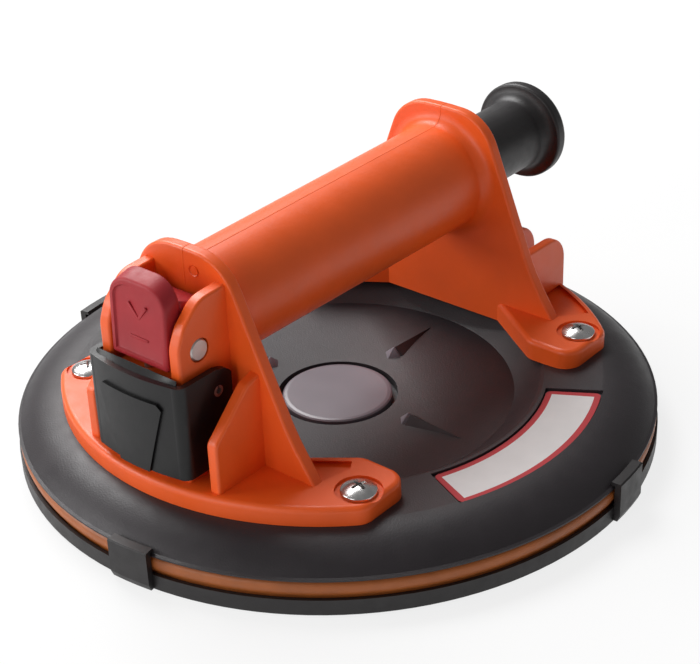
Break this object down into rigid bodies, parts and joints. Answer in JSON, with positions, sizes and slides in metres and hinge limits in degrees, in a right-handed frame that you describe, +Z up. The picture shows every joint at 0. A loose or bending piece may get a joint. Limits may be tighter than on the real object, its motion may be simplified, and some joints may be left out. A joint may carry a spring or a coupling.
{
  "type": "floor tile suction lifter",
  "caption": "Hand-pumped vacuum cup for lifting floor tiles: round dished plate with rubber pad, tube handle with plunger pump, release lever with guard, and clip-fastened protective cover.",
  "frame": {"origin": "centre of the protective cover's underside, on the surface that the lifter stands on and on the axis of the round cup", "axes": "+Z up, away from the work surface; the handle runs along Y, with the release lever at -Y and the pump's knob at +Y; +X to the right as seen from the lever's end"},
  "size_m": [0.207, 0.209, 0.0891],
  "materials": {
    "handle_orange": "semi-gloss orange moulding",
    "plate_plastic": "charcoal, finely grained",
    "pad_rubber": "brown-orange rubber",
    "cover_black": "near-black polyethylene",
    "cap_grey": "smooth grey",
    "label_white": "blank white film",
    "lever_red": "deep red",
    "black_plastic": "black, fine grain",
    "knob_black": "matt black",
    "seal_rubber": "black rubber",
    "zinc_steel": "zinc-plated",
    "spring_steel": "spring wire",
    "aluminium": "drawn tube",
    "brass": "turned brass"
  },
  "bodies": {
    "lifter": {"base_plate": "plate_plastic", "label_plate": "label_white", "suction_pad": "pad_rubber", "pad_retainer": "zinc_steel", "centre_bolt": "zinc_steel", "centre_nut": "zinc_steel", "centre_cap": "cap_grey", "handle_frame": "handle_orange", "foot_screws": "zinc_steel", "foot_inserts": "brass", "pump_cylinder": "aluminium", "cylinder_plug": "black_plastic", "plug_seal": "seal_rubber", "inlet_valve": "seal_rubber", "guide_bush": "black_plastic", "rod_wiper": "seal_rubber", "air_pipe": "brass", "valve_block": "black_plastic", "valve_plug": "black_plastic", "suction_nipple": "brass", "lever_axle": "zinc_steel", "guard_pins": "zinc_steel", "pump_spring": "spring_steel", "release_spring": "spring_steel"},
    "plunger": {"pump_plunger": "knob_black", "piston": "black_plastic", "piston_cup": "seal_rubber", "spring_plate": "zinc_steel", "piston_screw": "zinc_steel"},
    "lever": {"release_lever": "lever_red"},
    "stem": {"release_stem": "brass", "stem_washer": "seal_rubber"},
    "guard": {"valve_guard": "black_plastic"},
    "cover": {"protective_cover": "cover_black", "cover_clips": "cover_black"}
  },
  "joints": [
    {"name": "pump_stroke", "type": "slide", "parent": "lifter", "child": "plunger", "axis": [0, -1, 0], "range_m": [0, 0.028], "stiffness_N_per_m": 350, "springref_m": -0.012, "deforming": ["pump_spring"]},
    {"name": "lever_pivot", "type": "hinge", "parent": "lifter", "child": "lever", "pos_m": [0, -0.0731, 0.0644], "axis": [1, 0, 0], "range_deg": [0, 15], "stiffness_Nm_per_rad": 0.15, "springref_deg": -8.59},
    {"name": "stem_slide", "type": "slide", "parent": "lifter", "child": "stem", "axis": [0, 0, -1], "range_m": [0, 0.00152], "deforming": ["release_spring"]},
    {"name": "guard_hinge", "type": "hinge", "parent": "lifter", "child": "guard", "pos_m": [0, -0.07, 0.051], "axis": [-1, 0, 0], "range_deg": [0, 6]},
    {"name": "cover_pull", "type": "slide", "parent": "lifter", "child": "cover", "axis": [0, 0, -1], "range_m": [0, 0.03], "deforming": ["cover_clips"]}
  ],
  "couplings": [
    {"joint": "stem_slide", "follows": "lever_pivot", "m_per_rad": 0.00573}
  ]
}
